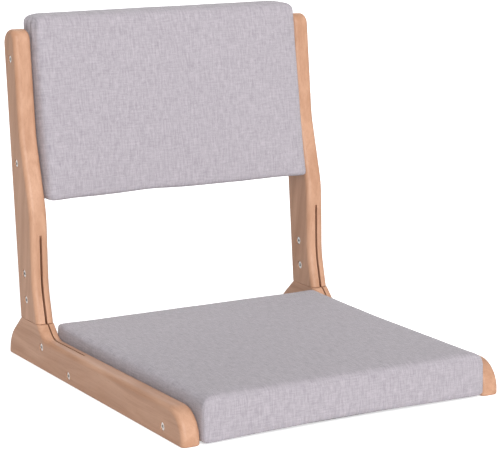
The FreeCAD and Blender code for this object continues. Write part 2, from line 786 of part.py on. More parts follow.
def staples():
    """Staples through the seat's dust cover and hem, and through the backrest's rear hem."""
    inset = number("hemWidth * stapleHemShare")
    half_width = number("padHalfWidth") - inset
    half_length = number("seatLength") / 2
    under = FreeCAD.Vector(0, half_length - number("seatOverhang") - number("originShift"),
                           number("floorClearance") - number("stapleWire") / 2)
    staple_ring("seat_staples", half_width, half_length - inset,
                FreeCAD.Placement(under, FreeCAD.Rotation()))
    half_height = number("backPadHeight") / 2
    rear = number("(backRearBottomY + backRearTopY) / 2") - number("originShift")
    behind = FreeCAD.Vector(0, rear + number("stapleWire") / 2, number("backPadBottom") + half_height)
    inward = FreeCAD.Rotation(FreeCAD.Vector(1, 0, 0), 90 - number("backLean"))
    staple_ring("backrest_staples", half_width, half_height - inset,
                FreeCAD.Placement(behind, inward))


# ---------------------------------------------------------------- assembly

def build():
    fill_sheet()
    for side_name, side in SIDES.items():
        base_rail(side_name + "_base_rail", side)
        back_post(side_name + "_back_post", side)
        hinge_plate(side_name + "_hinge_plate", side)
        keep(socket_bolt(side_name + "_pivot_bolt", side, pivot(), "throughShank"),
             side_name + "_pivot_bolt")
        keep(sleeve_nut(side_name + "_pivot_sleeve", side, pivot()), side_name + "_pivot_sleeve")
        bolt_set("plate", side_name, side, plate_bolts(), "throughShank")
        group(side_name + "_plate_nuts", [sleeve_nut("%s_plate_nut_%d" % (side_name, i + 1), side, centre)
                                          for i, centre in enumerate(plate_bolts())])
        bolt_set("seat", side_name, side, rail_bolts(),
                 "overallWidth / 2 - headDepth - frameHalfWidth + insertGrip")
        bolt_set("backrest", side_name, side, back_bolts(),
                 "overallWidth / 2 - headDepth - boardHalfWidth + insertGrip")
    seat_frame()
    seat_upholstery()
    backrest()
    doc.recompute()
    staples()
    doc.recompute()


def check():
    """Stop if any object failed or any sub-part has no valid shape."""
    for item in doc.Objects:
        if "Invalid" in item.State or "Error" in item.State:
            raise RuntimeError("%s failed: %s" % (item.Label, item.State))
    for item in nodes:
        if item.Shape.isNull() or not item.Shape.isValid():
            raise RuntimeError("%s has no valid shape" % item.Label)


def export():
    os.makedirs("parts", exist_ok=True)
    for item in nodes:
        item.Shape.exportStep("parts/%s.step" % item.Label)
        print("%-26s %2d solid(s) %10.1f mm3" % (item.Label, len(item.Shape.Solids), item.Shape.Volume))
    print(len(nodes), "sub-parts")


build()
check()
export()
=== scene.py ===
import json
import math

import bmesh
import bpy
from mathutils import Matrix, Vector, noise
from mathutils.bvhtree import BVHTree


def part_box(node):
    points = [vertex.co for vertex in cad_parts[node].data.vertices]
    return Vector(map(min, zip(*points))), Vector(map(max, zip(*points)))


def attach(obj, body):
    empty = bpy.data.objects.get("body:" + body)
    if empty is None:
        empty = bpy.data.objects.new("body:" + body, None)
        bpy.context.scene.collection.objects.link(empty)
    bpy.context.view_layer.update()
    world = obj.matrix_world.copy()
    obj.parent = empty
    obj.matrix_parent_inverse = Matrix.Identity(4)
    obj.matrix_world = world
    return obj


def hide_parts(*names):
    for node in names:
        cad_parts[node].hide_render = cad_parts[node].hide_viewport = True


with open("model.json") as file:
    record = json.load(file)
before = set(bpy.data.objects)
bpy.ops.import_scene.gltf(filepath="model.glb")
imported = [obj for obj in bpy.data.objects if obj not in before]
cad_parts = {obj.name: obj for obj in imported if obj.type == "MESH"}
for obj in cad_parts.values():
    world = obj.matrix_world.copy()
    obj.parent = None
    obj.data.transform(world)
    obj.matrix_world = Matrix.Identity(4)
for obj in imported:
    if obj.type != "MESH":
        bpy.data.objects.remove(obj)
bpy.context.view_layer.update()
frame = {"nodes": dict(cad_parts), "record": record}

nodes = frame["nodes"]
slotOf = {part["node"]: part["material_slot"] for part in frame["record"]["subparts"]}
rearLean = 0.0902                        # the backrest's rear face leans back by this per height
print("frame loaded:", len(nodes), "pieces")


# camera: a long lens from the front left, a little above the backrest

cameraSettings = {
    "lens": 145.2,                       # millimetres on a 36 mm wide sensor
    "place": (-1.258, -2.223, 0.710),
    "aim": (-0.069, -0.136, 0.227),
    "roll": -0.18,                       # degrees
}


def addCamera(settings):
    data = bpy.data.cameras.new("camera")
    data.lens = settings["lens"]
    camera = bpy.data.objects.new("camera", data)
    camera.location = settings["place"]
    line = Vector(settings["aim"]) - Vector(settings["place"])
    turn = line.to_track_quat("-Z", "Y").to_matrix()
    roll = Matrix.Rotation(math.radians(settings["roll"]), 3, "Z")
    camera.rotation_euler = (turn @ roll).to_euler()
    bpy.context.scene.collection.objects.link(camera)
    bpy.context.scene.camera = camera


# studio: white surroundings, a broad soft light from the front and a weak one from behind

studio = {
    "floorHalf": 9.0,
    "floorTint": (0.93, 0.93, 0.935, 1),
    "floorGlow": 0.6,                    # keeps the backdrop white where a shadow falls
    "sky": 0.39,
    "lights": {
        # name: where it shines from, strength, how wide it looks in degrees
        "frontLight": ((-0.15, -0.87, 0.49), 3.1, 50),
        "rearLight": ((0.45, 1.0, 0.25), 1.0, 60),
    },
}


def addStudio(settings):
    world = bpy.data.worlds.new("studio")
    world.use_nodes = True
    world.node_tree.nodes["Background"].inputs["Color"].default_value = (1, 1, 1, 1)
    world.node_tree.nodes["Background"].inputs["Strength"].default_value = settings["sky"]
    bpy.context.scene.world = world
    bpy.context.scene.view_settings.view_transform = "Standard"
    for name, (source, strength, width) in settings["lights"].items():
        data = bpy.data.lights.new(name, "SUN")
        data.energy = strength
        data.angle = math.radians(width)
        light = bpy.data.objects.new(name, data)
        light.location = source
        light.rotation_euler = (-Vector(source)).to_track_quat("-Z", "Y").to_euler()
        bpy.context.scene.collection.objects.link(light)
    half = settings["floorHalf"]
    mesh = bpy.data.meshes.new("floor")
    mesh.from_pydata([(-half, -half, 0), (half, -half, 0), (half, half, 0), (-half, half, 0)],
                     [], [(0, 1, 2, 3)])
    floor = bpy.data.objects.new("floor", mesh)
    bpy.context.scene.collection.objects.link(floor)
    paint = bpy.data.materials.new("floorPaint")
    paint.use_nodes = True
    surface = paint.node_tree.nodes["Principled BSDF"]
    surface.inputs["Base Color"].default_value = settings["floorTint"]
    surface.inputs["Roughness"].default_value = 0.9
    surface.inputs["Specular IOR Level"].default_value = 0.1
    surface.inputs["Emission Color"].default_value = (1, 1, 1, 1)
    seen = paint.node_tree.nodes.new("ShaderNodeLightPath").outputs["Is Camera Ray"]
    glow = paint.node_tree.nodes.new("ShaderNodeMath")
    glow.operation = "MULTIPLY"
    glow.inputs[1].default_value = settings["floorGlow"]
    paint.node_tree.links.new(seen, glow.inputs[0])
    paint.node_tree.links.new(glow.outputs[0], surface.inputs["Emission Strength"])
    mesh.materials.append(paint)


addCamera(cameraSettings)
addStudio(studio)
print("camera and studio ready")


# node helpers: a value that is a socket is linked, any other is set

def put(tree, kind, values=None, **settings):
    made = tree.nodes.new(kind)
    for name, value in settings.items():
        setattr(made, name, value)
    for socket, value in (values or {}).items():
        if isinstance(value, bpy.types.NodeSocket):
            tree.links.new(value, made.inputs[socket])
        else:
            made.inputs[socket].default_value = value
    return made


def maths(tree, operation, a, b=0.0, c=0.0):
    return put(tree, "ShaderNodeMath", {0: a, 1: b, 2: c}, operation=operation).outputs[0]


def scaled(tree, vector, x, y, z):
    return put(tree, "ShaderNodeVectorMath", {0: vector, 1: (x, y, z)},
               operation="MULTIPLY").outputs[0]


def noiseOf(tree, vector, scale, detail=3.0, roughness=0.5, distortion=0.0):
    return put(tree, "ShaderNodeTexNoise",
               {"Vector": vector, "Scale": scale, "Detail": detail, "Roughness": roughness,
                "Distortion": distortion}).outputs["Fac"]


def spread(tree, value, low, high, toLow=0.0, toHigh=1.0):
    return put(tree, "ShaderNodeMapRange", {"Value": value, "From Min": low, "From Max": high,
                                            "To Min": toLow, "To Max": toHigh}).outputs[0]


def mixed(tree, factor, a, b):
    return put(tree, "ShaderNodeMix", {0: factor, 6: a, 7: b}, data_type="RGBA").outputs[2]


def startGroup(name, inputs, outputs):
    tree = bpy.data.node_groups.new(name, "ShaderNodeTree")
    for title, (kind, value) in inputs.items():
        socket = tree.interface.new_socket(title, in_out="INPUT", socket_type=kind)
        if value is not None:
            socket.default_value = value
    for title, kind in outputs.items():
        tree.interface.new_socket(title, in_out="OUTPUT", socket_type=kind)
    given = tree.nodes.new("NodeGroupInput").outputs
    result = tree.nodes.new("NodeGroupOutput").inputs
    return tree, given, result


def placeGroup(tree, group, values):
    return put(tree, "ShaderNodeGroup", values, node_tree=group).outputs


# each keyword names a socket of the shader, with _ for a space

def startMaterial(name, **fixed):
    material = bpy.data.materials.new(name)
    material.use_nodes = True
    surface = material.node_tree.nodes["Principled BSDF"]
    for title, value in fixed.items():
        surface.inputs[title.replace("_", " ")].default_value = value
    return material, material.node_tree, surface


def relief(tree, surface, height, distance):
    bump = put(tree, "ShaderNodeBump", {"Height": height, "Distance": distance})
    tree.links.new(bump.outputs["Normal"], surface.inputs["Normal"])


# shared effect: wavy figure, fine straight grain and small ray flecks, along z of the vector

def makeWoodGrain():
    tree, given, result = startGroup("woodGrain", {
        "Vector": ("NodeSocketVector", None),
        "Pale": ("NodeSocketColor", (0.6, 0.4, 0.25, 1)),
        "Deep": ("NodeSocketColor", (0.4, 0.25, 0.14, 1)),
        "Band": ("NodeSocketFloat", 60.0),
        "Fleck": ("NodeSocketFloat", 0.3),
    }, {"Color": "NodeSocketColor", "Height": "NodeSocketFloat", "Pores": "NodeSocketFloat"})
    sway = put(tree, "ShaderNodeTexNoise", {"Vector": scaled(tree, given["Vector"], 1, 1, 0.5),
                                            "Scale": 11.0, "Detail": 2.0}).outputs["Color"]
    bent = put(tree, "ShaderNodeVectorMath", {0: given["Vector"],
                                              1: scaled(tree, sway, 0.014, 0.014, 0.0)},
               operation="ADD").outputs[0]
    figure = noiseOf(tree, scaled(tree, bent, 1, 1, 0.11), given["Band"], 2.0, 0.55, 0.6)
    fibres = noiseOf(tree, scaled(tree, bent, 1, 1, 0.012), 480, 2.0, 0.5)
    flecks = spread(tree, noiseOf(tree, scaled(tree, bent, 1, 1, 0.12), 1100, 0.0), 0.66, 0.8)
    shade = maths(tree, "MULTIPLY_ADD", spread(tree, figure, 0.32, 0.68), 0.72,
                  maths(tree, "MULTIPLY", spread(tree, fibres, 0.3, 0.7), 0.28))
    ground = mixed(tree, shade, given["Pale"], given["Deep"])
    rayBrown = (0.2, 0.1, 0.055, 1)
    fleckTint = mixed(tree, 0.3, ground, rayBrown)
    fleckMask = maths(tree, "MULTIPLY", flecks, given["Fleck"])
    tree.links.new(mixed(tree, fleckMask, ground, fleckTint), result["Color"])
    tree.links.new(maths(tree, "SUBTRACT", maths(tree, "MULTIPLY", fibres, 0.5),
                         maths(tree, "MULTIPLY", flecks, 0.3)), result["Height"])
    tree.links.new(flecks, result["Pores"])
    return tree


# shared effect: where a flat cloth lies on a pad, from the pad's own axes with z out of its face

def makeClothWrap():
    tree, given, result = startGroup("clothWrap", {
        "Vector": ("NodeSocketVector", None),
        "Normal": ("NodeSocketVector", None),
    }, {"Vector": "NodeSocketVector"})
    at = put(tree, "ShaderNodeSeparateXYZ", {0: given["Vector"]}).outputs
    facing = put(tree, "ShaderNodeSeparateXYZ", {0: given["Normal"]}).outputs
    down = maths(tree, "MINIMUM", at[2], 0.0)
    side = maths(tree, "GREATER_THAN", maths(tree, "ABSOLUTE", facing[0]),
                 maths(tree, "ABSOLUTE", facing[1]))
    end = maths(tree, "SUBTRACT", 1.0, side)
    across = maths(tree, "MULTIPLY", maths(tree, "SIGN", at[0]), down)
    across = maths(tree, "MULTIPLY", across, side)
    along = maths(tree, "MULTIPLY", maths(tree, "SIGN", at[1]), down)
    along = maths(tree, "MULTIPLY", along, end)
    flat = put(tree, "ShaderNodeCombineXYZ", {0: maths(tree, "SUBTRACT", at[0], across),
                                              1: maths(tree, "SUBTRACT", at[1], along),
                                              2: side}).outputs[0]
    tree.links.new(flat, result["Vector"])
    return tree


# shared effect: plain weave with slubby yarn, on a flat cloth vector

def makeYarnWeave():
    tree, given, result = startGroup("yarnWeave", {
        "Vector": ("NodeSocketVector", None),
        "Pitch": ("NodeSocketFloat", 0.0009),
        "Slub": ("NodeSocketFloat", 1.0),
    }, {"Height": "NodeSocketFloat", "Tone": "NodeSocketFloat", "Streak": "NodeSocketFloat"})
    at = put(tree, "ShaderNodeSeparateXYZ", {0: given["Vector"]}).outputs
    u = maths(tree, "MULTIPLY", maths(tree, "DIVIDE", at[0], given["Pitch"]), math.pi)
    v = maths(tree, "MULTIPLY", maths(tree, "DIVIDE", at[1], given["Pitch"]), math.pi)
    warp, weft = maths(tree, "SINE", u), maths(tree, "SINE", v)
    over = maths(tree, "GREATER_THAN", maths(tree, "MULTIPLY", warp, weft), 0.0)
    under = maths(tree, "SUBTRACT", 1.0, over)
    warpTop = maths(tree, "MULTIPLY", maths(tree, "ABSOLUTE", warp),
                    maths(tree, "MULTIPLY_ADD", over, 0.6, 0.4))
    weftTop = maths(tree, "MULTIPLY", maths(tree, "ABSOLUTE", weft),
                    maths(tree, "MULTIPLY_ADD", under, 0.6, 0.4))
    tree.links.new(maths(tree, "MAXIMUM", warpTop, weftTop), result["Height"])
    warpTone = noiseOf(tree, scaled(tree, given["Vector"], 760, 70, 9), 1.0, 2.0, 0.6)
    weftTone = noiseOf(tree, scaled(tree, given["Vector"], 70, 760, 7), 1.0, 2.0, 0.6)
    tone = maths(tree, "ADD", maths(tree, "MULTIPLY", warpTone, over),
                 maths(tree, "MULTIPLY", weftTone, under))
    tree.links.new(tone, result["Tone"])
    warpSlub = noiseOf(tree, scaled(tree, given["Vector"], 420, 60, 5), 1.0, 3.0, 0.7)
    weftSlub = noiseOf(tree, scaled(tree, given["Vector"], 75, 420, 3), 1.0, 3.0, 0.7)
    streak = maths(tree, "ADD", maths(tree, "MULTIPLY_ADD", warpSlub, 1.25, -0.625),
                   maths(tree, "MULTIPLY_ADD", weftSlub, 0.75, -0.375))
    tree.links.new(maths(tree, "MULTIPLY", streak, given["Slub"]), result["Streak"])
    return tree


# shared effect: faint handling marks and dust

def makeHandling():
    tree, given, result = startGroup("handling", {
        "Vector": ("NodeSocketVector", None),
        "Amount": ("NodeSocketFloat", 0.5),
    }, {"Smudge": "NodeSocketFloat", "Scratch": "NodeSocketFloat"})
    smudge = spread(tree, noiseOf(tree, given["Vector"], 18, 4.0, 0.6), 0.35, 0.75)
    lines = noiseOf(tree, scaled(tree, given["Vector"], 1, 0.08, 1), 1400, 1.0)
    scratch = spread(tree, lines, 0.64, 0.74)
    tree.links.new(maths(tree, "MULTIPLY", smudge, given["Amount"]), result["Smudge"])
    tree.links.new(maths(tree, "MULTIPLY", scratch, given["Amount"]), result["Scratch"])
    return tree


woodGrain = makeWoodGrain()
clothWrap = makeClothWrap()
yarnWeave = makeYarnWeave()
handling = makeHandling()


def objectVector(tree):
    return put(tree, "ShaderNodeTexCoord").outputs["Object"]


def turnedVector(tree, vector, rotation):
    return put(tree, "ShaderNodeMapping", {"Vector": vector, "Rotation": rotation}).outputs[0]


# satin lacquered beech; the grain angle is its turn about x away from upright, in degrees

beech = {
    "pale": (0.58, 0.337, 0.222, 1),
    "deep": (0.435, 0.228, 0.136, 1),
    "band": 62.0,                        # how fine the figure is
    "fleck": 0.5,                        # how strong the ray flecks are
    "roughness": 0.42,
    "smudges": 0.5,
    "railAngle": 90,
    "postAngle": -9,
}


def makeBeech(name, angle):
    material, tree, surface = startMaterial(name, Coat_Roughness=0.35, Specular_IOR_Level=0.28)
    vector = turnedVector(tree, objectVector(tree), (math.radians(angle), 0, 0))
    grain = placeGroup(tree, woodGrain, {"Vector": vector, "Pale": beech["pale"],
                                         "Deep": beech["deep"], "Band": beech["band"],
                                         "Fleck": beech["fleck"]})
    marks = placeGroup(tree, handling, {"Vector": vector, "Amount": beech["smudges"]})
    tree.links.new(grain["Color"], surface.inputs["Base Color"])
    tree.links.new(maths(tree, "MULTIPLY_ADD", marks["Smudge"], 0.18, beech["roughness"]),
                   surface.inputs["Roughness"])
    tree.links.new(spread(tree, grain["Pores"], 0, 1, 0.15, 0.05), surface.inputs["Coat Weight"])
    relief(tree, surface, grain["Height"], 0.00012)
    return material


# sawn softwood of the hidden seat frame

framePine = {
    "pale": (0.70, 0.54, 0.33, 1),
    "deep": (0.50, 0.33, 0.17, 1),
    "band": 60.0,
    "fleck": 0.2,
    "lengthways": (90, 0, 0),            # turns that bring the grain upright, in degrees
    "crossways": (0, 90, 0),
}


def makePine(name, turn):
    material, tree, surface = startMaterial(name, Roughness=0.8, Specular_IOR_Level=0.2)
    vector = turnedVector(tree, objectVector(tree), [math.radians(a) for a in turn])
    grain = placeGroup(tree, woodGrain, {"Vector": vector, "Pale": framePine["pale"],
                                         "Deep": framePine["deep"], "Band": framePine["band"],
                                         "Fleck": framePine["fleck"]})
    sawMarks = noiseOf(tree, scaled(tree, vector, 0.1, 0.1, 1), 420, 1.0)
    tree.links.new(grain["Color"], surface.inputs["Base Color"])
    relief(tree, surface, maths(tree, "ADD", grain["Height"], sawMarks), 0.0003)
    return material


# plywood: face veneer, and glued layers on the cut edges

plywood = {
    "face": (0.62, 0.47, 0.30, 1),
    "deep": (0.50, 0.36, 0.21, 1),
    "crossVeneer": (0.30, 0.19, 0.10, 1),
    "band": 50.0,
    "fleck": 0.3,
    "layer": 0.0015,                     # thickness of one veneer
}


def makePlywood(name, stackAngle):
    material, tree, surface = startMaterial(name, Roughness=0.7, Specular_IOR_Level=0.2)
    vector = turnedVector(tree, objectVector(tree), (math.radians(stackAngle), 0, 0))
    faceVector = turnedVector(tree, vector, (0, math.radians(90), 0))
    grain = placeGroup(tree, woodGrain, {"Vector": faceVector, "Pale": plywood["face"],
                                         "Deep": plywood["deep"], "Band": plywood["band"],
                                         "Fleck": plywood["fleck"]})
    height = put(tree, "ShaderNodeSeparateXYZ", {0: vector}).outputs[2]
    phase = maths(tree, "FRACT", maths(tree, "DIVIDE", height, 2 * plywood["layer"]))
    dark = maths(tree, "GREATER_THAN", phase, 0.5)
    flat = put(tree, "ShaderNodeTexCoord").outputs["Normal"]
    facing = put(tree, "ShaderNodeSeparateXYZ",
                 {0: turnedVector(tree, flat, (math.radians(stackAngle), 0, 0))}).outputs[2]
    edge = maths(tree, "LESS_THAN", maths(tree, "ABSOLUTE", facing), 0.5)
    layers = mixed(tree, maths(tree, "MULTIPLY", dark, edge), grain["Color"],
                   plywood["crossVeneer"])
    tree.links.new(layers, surface.inputs["Base Color"])
    relief(tree, surface, grain["Height"], 0.0002)
    return material


# lilac-grey melange linen; each pad gives the middle of its face and how far it is turned

linen = {
    "light": (0.530, 0.488, 0.527, 1),
    "dark": (0.330, 0.300, 0.332, 1),
    "paintedGapShade": (0.17, 0.15, 0.18, 1),        # painted shade in the gaps between the yarns
    "pitch": 0.00085,                    # metres from yarn to yarn
    "relief": 0.00018,
    "shoulder": 0.006,                   # the cloth turns down this far below the seat's face
    "backTurn": -81,                     # degrees about x that lay each face flat
    "panelTurn": 95,
}


def makeLinen(name, middle, lean):
    material, tree, surface = startMaterial(name, Roughness=0.9, Specular_IOR_Level=0.15,
                                            Sheen_Weight=0.25, Sheen_Roughness=0.5)
    coordinates = put(tree, "ShaderNodeTexCoord").outputs
    centred = put(tree, "ShaderNodeVectorMath", {0: coordinates["Object"], 1: middle},
                  operation="SUBTRACT").outputs[0]
    turn = (lean, 0, 0)
    flat = placeGroup(tree, clothWrap, {"Vector": turnedVector(tree, centred, turn),
                                        "Normal": turnedVector(tree, coordinates["Normal"], turn)})
    yarn = placeGroup(tree, yarnWeave, {"Vector": flat["Vector"], "Pitch": linen["pitch"],
                                        "Slub": 1.0})
    clouds = noiseOf(tree, coordinates["Object"], 26, 3.0, 0.6)
    streaks = maths(tree, "MULTIPLY", yarn["Streak"], 1.3)
    tone = maths(tree, "MULTIPLY_ADD", yarn["Tone"], 1.5, streaks)
    tone = maths(tree, "MULTIPLY_ADD", maths(tree, "SUBTRACT", clouds, 0.5), 0.12, tone)
    yarnTops = spread(tree, yarn["Height"], 0.15, 0.6)
    colour = mixed(tree, spread(tree, tone, 0.25, 1.25), linen["dark"], linen["light"])
    # painted shade: where the yarns lie low, up to 35 percent of the dark gap colour is mixed in
    shaded = mixed(tree, maths(tree, "MULTIPLY_ADD", yarnTops, 0.35, 0.65), linen["paintedGapShade"], colour)
    tree.links.new(shaded, surface.inputs["Base Color"])
    relief(tree, surface, yarn["Height"], linen["relief"])
    return material


seatLow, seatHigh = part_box("seat_cover")
backLow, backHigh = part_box("backrest_cover")
seatMiddle = (0, (seatLow.y + seatHigh.y) / 2, seatHigh.z - linen["shoulder"])
backMiddle = (0, (backLow.y + backHigh.y) / 2, (backLow.z + backHigh.z) / 2)
seatLinen = makeLinen("seatLinen", seatMiddle, 0)
backLinen = makeLinen("backLinen", backMiddle, math.radians(linen["backTurn"]))


# black spunbond cloth that closes the seat's underside

dustCloth = {"tint": (0.028, 0.028, 0.031, 1), "fibre": (0.075, 0.075, 0.082, 1)}


def makeDustCloth(name):
    material, tree, surface = startMaterial(name, Roughness=0.85, Specular_IOR_Level=0.2)
    vector = objectVector(tree)
    fibres = noiseOf(tree, vector, 900, 4.0, 0.7, 1.5)
    cells = put(tree, "ShaderNodeTexVoronoi", {"Vector": scaled(tree, vector, 1, 1.6, 1),
                                               "Scale": 520.0}).outputs["Distance"]
    colour = mixed(tree, spread(tree, fibres, 0.4, 0.7), dustCloth["tint"], dustCloth["fibre"])
    tree.links.new(colour, surface.inputs["Base Color"])
    relief(tree, surface, maths(tree, "ADD", fibres, cells), 0.0002)
    return material


# metal: browned sheet for the hinge plates, nickel plated for the fasteners

metals = {
    "hingeSteel": {"tint": (0.20, 0.085, 0.050, 1), "dull": (0.12, 0.050, 0.030, 1),
                   "roughness": 0.46},
    "fastenerSteel": {"tint": (0.90, 0.89, 0.87, 1), "dull": (0.70, 0.69, 0.67, 1),
                      "roughness": 0.24},
}


def makeMetal(name):
    look = metals[name]
    material, tree, surface = startMaterial(name, Metallic=1.0)
    vector = objectVector(tree)
    marks = placeGroup(tree, handling, {"Vector": vector, "Amount": 0.7})
    tree.links.new(mixed(tree, marks["Smudge"], look["tint"], look["dull"]),
                   surface.inputs["Base Color"])
    tree.links.new(maths(tree, "MULTIPLY_ADD", marks["Scratch"], 0.25, look["roughness"]),
                   surface.inputs["Roughness"])
    relief(tree, surface, noiseOf(tree, scaled(tree, vector, 1, 1, 0.2), 1100, 2.0), 0.00005)
    return material


# finishes of the CAD pieces by material slot, with the few that run another way

finishes = {
    "beech_wood": makeBeech("beechRail", beech["railAngle"]),
    "frame_wood": makePine("pineLengthways", framePine["lengthways"]),
    "plywood": makePlywood("plywoodDeck", 0),
    "hinge_steel": makeMetal("hingeSteel"),
    "fastener_steel": makeMetal("fastenerSteel"),
}
beechPost = makeBeech("beechPost", beech["postAngle"])
pineCross = makePine("pineCrossways", framePine["crossways"])
ownFinish = {
    "left_back_post": beechPost,
    "right_back_post": beechPost,
    "seat_front_rail": pineCross,
    "seat_rear_rail": pineCross,
    "seat_middle_slat": pineCross,
    "backrest_board": makePlywood("plywoodBoard", 90 - math.degrees(math.atan(rearLean))),
}
for name, piece in nodes.items():
    finish = ownFinish.get(name) or finishes.get(slotOf[name])
    if finish is not None:
        piece.data.materials.clear()
        piece.data.materials.append(finish)
print("finishes ready")


# mesh helpers

def addPiece(name, mesh, material, body):
    piece = bpy.data.objects.new(name, mesh)
    bpy.context.scene.collection.objects.link(piece)
    mesh.materials.append(material)
    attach(piece, body)
    return piece


def meshOf(piece):
    graph = bpy.context.evaluated_depsgraph_get()
    return bpy.data.meshes.new_from_object(piece.evaluated_get(graph), depsgraph=graph)


def ease(value):
    t = min(max(value, 0.0), 1.0)
    return t * t * (3 - 2 * t)


def hump(value, centre, reach):
    return math.exp(-((value - centre) / reach) ** 2)


# a quarter round: one at the edge, none from the reach on

def quarter(distance, reach):
    t = min(max(1 - distance / reach, 0.0), 1.0)
    return 1 - math.sqrt(max(1 - t * t, 0.0))


# a box from the origin to its size, of nearly square cells, its edges rolled;
# the radius changes from front to rear over the middle of its depth

def rolledBox(size, cell, frontRadius, rearRadius):
    changeFrom, changeReach = 0.3, 0.4
    counts = [max(2, round(side / cell)) for side in size]
    mesh = bmesh.new()
    for axis in range(3):
        a, b = (axis + 1) % 3, (axis + 2) % 3
        for end in (0, 1):
            grid = {}
            for i in range(counts[a] + 1):
                for j in range(counts[b] + 1):
                    point = Vector((0, 0, 0))
                    point[axis] = end * size[axis]
                    point[a] = i / counts[a] * size[a]
                    point[b] = j / counts[b] * size[b]
                    grid[i, j] = mesh.verts.new(point)
            for i in range(counts[a]):
                for j in range(counts[b]):
                    ring = [grid[i, j], grid[i + 1, j], grid[i + 1, j + 1], grid[i, j + 1]]
                    mesh.faces.new(ring if end else ring[::-1])
    bmesh.ops.remove_doubles(mesh, verts=mesh.verts, dist=1e-6)
    for vertex in mesh.verts:
        towardsRear = ease((vertex.co.y / size.y - changeFrom) / changeReach)
        radius = frontRadius + (rearRadius - frontRadius) * towardsRear
        core = Vector([min(max(p, radius), side - radius) for p, side in zip(vertex.co, size)])
        out = vertex.co - core
        if out.length > 0:
            vertex.co = core + out.normalized() * radius
    return mesh


# the blank swells like a filled cushion while its held points stay on the frame

def stuff(piece, settings, isHeld):
    rest = [vertex.co.copy() for vertex in piece.data.vertices]
    group = piece.vertex_groups.new(name="held")
    group.add([i for i, point in enumerate(rest) if isHeld(point)], 1.0, "REPLACE")
    cloth = piece.modifiers.new("cloth", "CLOTH")
    cloth.settings.vertex_group_mass = "held"
    cloth.settings.use_pressure = True
    cloth.settings.uniform_pressure_force = settings["pressure"]
    cloth.settings.effector_weights.gravity = 0
    cloth.point_cache.frame_end = settings["frames"]
    for step in range(1, settings["frames"] + 1):
        bpy.context.scene.frame_set(step)
    graph = bpy.context.evaluated_depsgraph_get()
    swollen = [vertex.co.copy() for vertex in piece.evaluated_get(graph).data.vertices]
    piece.modifiers.remove(cloth)
    bpy.context.scene.frame_set(1)
    largest = max((end - start).length for start, end in zip(rest, swollen))
    share = min(1.0, settings["limit"] / largest)
    for vertex, start, end in zip(piece.data.vertices, rest, swollen):
        vertex.co = start + (end - start) * share
    print(piece.name, "swelled", round(largest * share * 1000, 1), "mm")


def subdivide(piece):
    modifier = piece.modifiers.new("smooth", "SUBSURF")
    modifier.levels = modifier.render_levels = 1
    mesh = meshOf(piece)
    piece.modifiers.remove(modifier)
    piece.data = mesh


# takes the room of the wooden frame out of a pad

def hollow(piece, cutterMesh):
    cutter = bpy.data.objects.new("cutter", cutterMesh)
    bpy.context.scene.collection.objects.link(cutter)
    modifier = piece.modifiers.new("frameRoom", "BOOLEAN")
    modifier.operation = "DIFFERENCE"
    modifier.solver = "EXACT"
    modifier.object = cutter
    mesh = meshOf(piece)
    piece.modifiers.remove(modifier)
    piece.data = mesh
    bpy.data.objects.remove(cutter)


# a six-sided block from its eight corners, the lower four first

def blockMesh(corners):
    mesh = bpy.data.meshes.new("block")
    mesh.from_pydata(corners, [], [(3, 2, 1, 0), (4, 5, 6, 7), (0, 1, 5, 4), (1, 2, 6, 5),
                                   (2, 3, 7, 6), (3, 0, 4, 7)])
    return mesh


def boxMesh(left, right, front, rear, bottom, top):
    return blockMesh([(left, front, bottom), (right, front, bottom), (right, rear, bottom),
                      (left, rear, bottom), (left, front, top), (right, front, top),
                      (right, rear, top), (left, rear, top)])


def finishPad(piece, material):
    for face in piece.data.polygons:
        face.use_smooth = True
    piece.data.materials.clear()
    piece.data.materials.append(material)


# a fine sewn ridge on a pad, through the points where lines from outside meet its surface

def sewnRidge(name, pad, starts, heading, radius, material, body):
    graph = bpy.context.evaluated_depsgraph_get()
    surface = BVHTree.FromObject(pad, graph)
    hits = [surface.ray_cast(start, heading)[0] for start in starts]
    points = [hit for hit in hits if hit is not None]
    curve = bpy.data.curves.new(name, "CURVE")
    curve.dimensions = "3D"
    curve.bevel_depth = radius
    curve.bevel_resolution = 2
    curve.use_fill_caps = True
    line = curve.splines.new("NURBS")
    line.points.add(len(points) - 1)
    for target, point in zip(line.points, points):
        target.co = (*point, 1)
    line.order_u = 3
    line.use_endpoint_u = True
    holder = bpy.data.objects.new(name + "_line", curve)
    bpy.context.scene.collection.objects.link(holder)
    mesh = meshOf(holder)
    bpy.data.objects.remove(holder)
    mesh.name = name
    for face in mesh.polygons:
        face.use_smooth = True
    return addPiece(name, mesh, material, body)


# seat pad: foam and linen over the frame, rolled down to the floor rails at its sides

seatPad = {
    "cell": 0.0056,
    "frontRadius": 0.006, "rearRadius": 0.003,
    "rollFrom": 0.4,                     # share of the height where the roll starts
    "sideReach": 0.018, "sideDrop": 0.010,   # how the top rolls down to the sides
    "rearSideShare": 0.15,               # less of that roll at the rear
    "frontReach": 0.015, "frontDrop": 0.0075,
    "rearReach": 0.010, "rearDrop": 0.0018,
    "pressure": 4.0, "frames": 20, "limit": 0.003,
    "heldBand": 0.012,                   # below the deck only the front swells, this far up
    "frontArch": 0.0034,                 # the front hem lifts off the floor in the middle
    "archPlace": 0.01, "archReach": 0.1,
    "cornerDip": 0.0015, "dipReach": 0.05,
    "rightDipShare": 0.3,
    "hemBand": 0.03, "frontBlend": 0.008,    # up to where the arch and the dips fade out
    "floorGap": 0.0008,
    "deckBand": 0.004, "deckInset": 0.003,   # where the sides are kept clear of the deck
    "deckRoom": 0.0003,
    "unevenness": 0.0003, "unevenScale": 22,
    "hem": 0.026, "hemHeight": 0.01,
    "seamRadius": 0.0006, "seamFoot": 0.004, "seamStep": 0.0035,
    "seamPoints": 12, "seamStart": 0.02,     # lines from this far outside find its points
}


